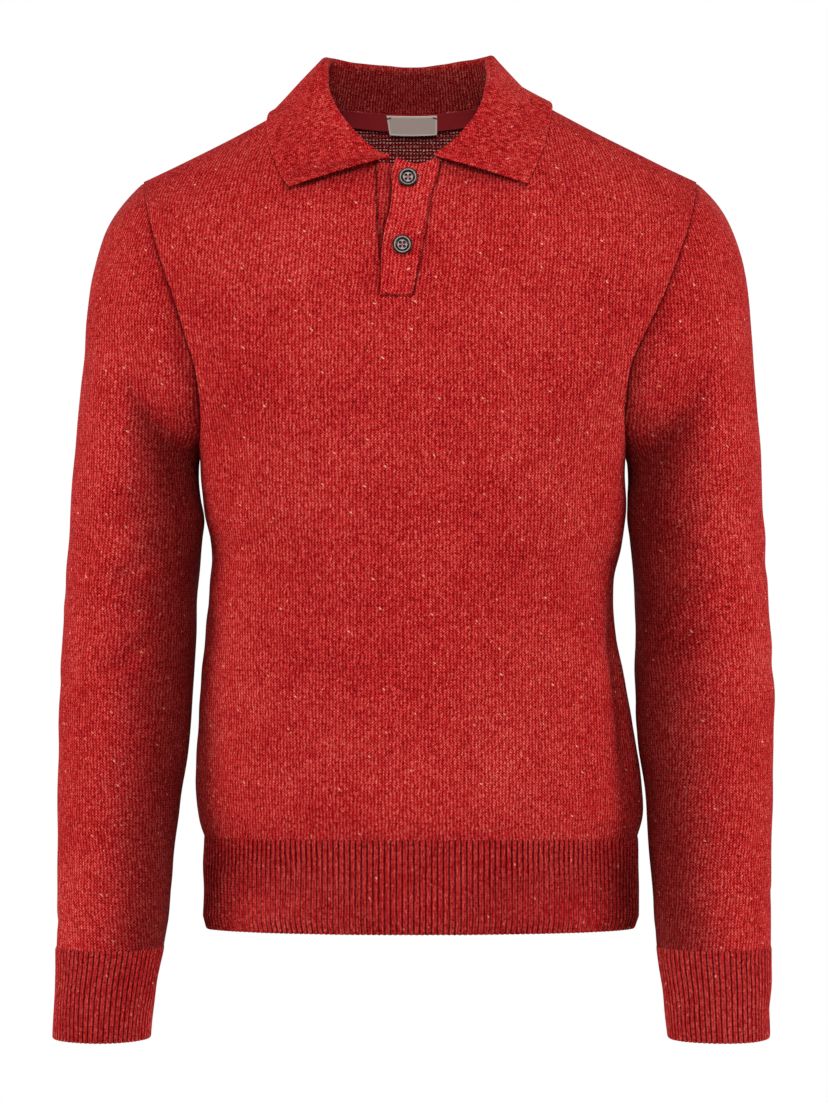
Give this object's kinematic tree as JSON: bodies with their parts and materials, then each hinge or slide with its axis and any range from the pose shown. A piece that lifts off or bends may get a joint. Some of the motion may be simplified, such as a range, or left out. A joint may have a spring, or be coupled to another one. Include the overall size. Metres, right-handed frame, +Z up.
{
  "type": "knitted polo sweater",
  "caption": "Long-sleeved knitted polo sweater in its worn, hollow form, with a fold-over collar, a short buttoned opening and ribbed hem and cuffs.",
  "frame": {"origin": "the middle of the neck base, where the wearer's neck and shoulders carry the garment", "axes": "+Z up along the body, -Y out of the front, +X to the wearer's left"},
  "size_m": [0.5768, 0.2311, 0.7902],
  "materials": {
    "knit": "flecked red wool in plain knit, softly fuzzy",
    "rib": "the same wool in rib",
    "horn": "dark horn with a lighter rim",
    "tape": "dark red woven neck tape",
    "label": "bare woven beige label"
  },
  "bodies": {
    "root": {"front": "knit", "back": "knit", "sleeve_right": "knit", "sleeve_left": "knit", "cuff_right": "rib", "cuff_left": "rib", "hem_rib": "rib", "collar": "knit", "placket_over": "knit", "placket_under": "knit", "button_top": "horn", "button_lower": "horn", "neck_tape": "tape", "label": "label"}
  },
  "joints": []
}
